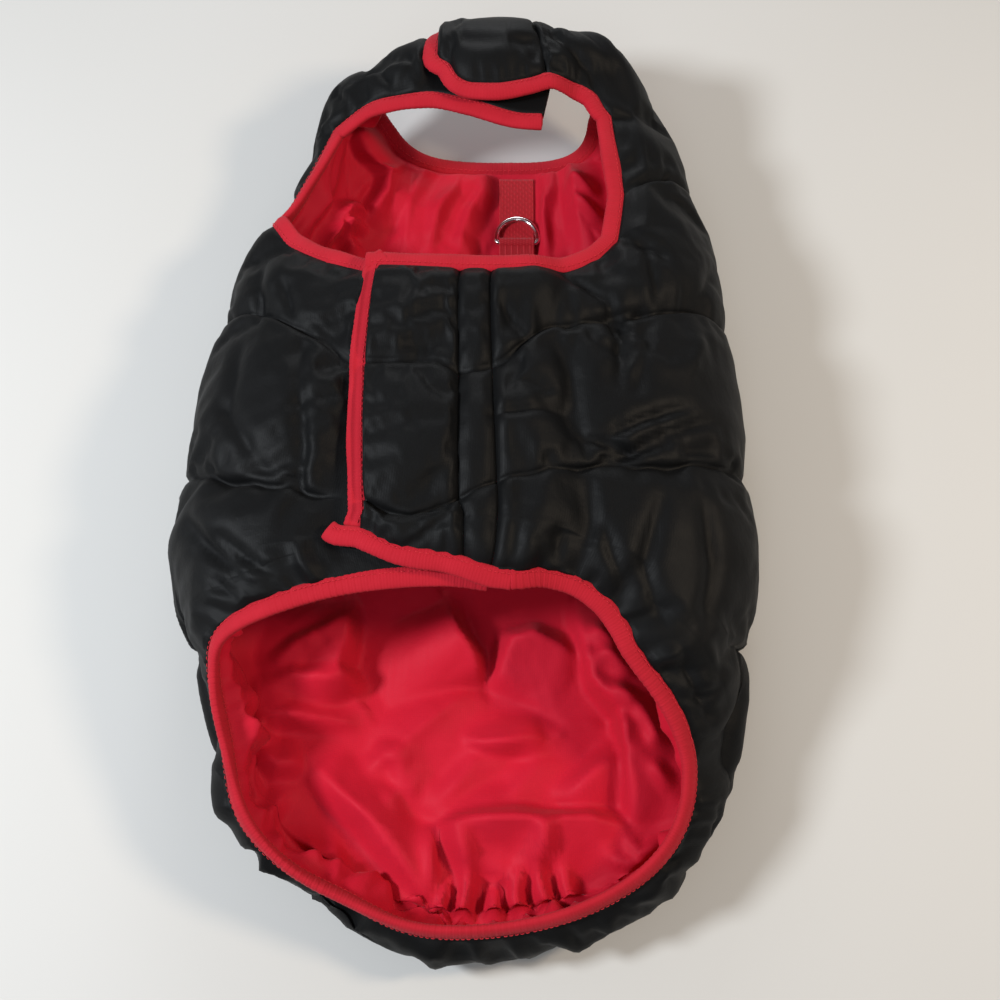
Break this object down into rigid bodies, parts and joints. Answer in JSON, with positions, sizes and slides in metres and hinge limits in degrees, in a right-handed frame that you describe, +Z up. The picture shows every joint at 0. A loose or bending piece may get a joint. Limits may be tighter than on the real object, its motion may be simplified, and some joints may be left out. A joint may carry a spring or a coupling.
{
  "type": "dog winter coat",
  "caption": "Padded winter coat for a large dog, lying on its back: a quilted tube with a loose lining, open at hem, neck and front legs, closed by an overlapping belly flap and a chest tab.",
  "frame": {"origin": "bottom centre of the coat's bounding box, on the surface it lies on", "axes": "+Z up, away from the surface; +Y along the back from the hem to the neck; +X to the coat's right side as seen from above with the neck away from the viewer"},
  "size_m": [0.3518, 0.601, 0.1319],
  "materials": {
    "shell": "soft satin",
    "lining": "satin",
    "binding": "matte",
    "tape": "matte",
    "webbing": "woven",
    "chrome": "polished"
  },
  "bodies": {
    "root": {"body_shell": "shell", "body_lining": "lining", "placket_strip": "shell", "belly_flap_shell": "shell", "belly_flap_lining": "lining", "chest_tab_shell": "shell", "chest_tab_lining": "lining", "belly_loop_tape": "tape", "belly_hook_tape": "tape", "chest_loop_tape": "tape", "chest_hook_tape": "tape", "hem_binding": "binding", "flap_hem_binding": "binding", "neck_binding": "binding", "leg_binding_right": "binding", "leg_binding_left": "binding", "flap_edge_binding": "binding", "underlap_edge_binding": "binding", "webbing_strip": "webbing", "webbing_loop": "webbing", "d_ring": "chrome"}
  },
  "joints": []
}
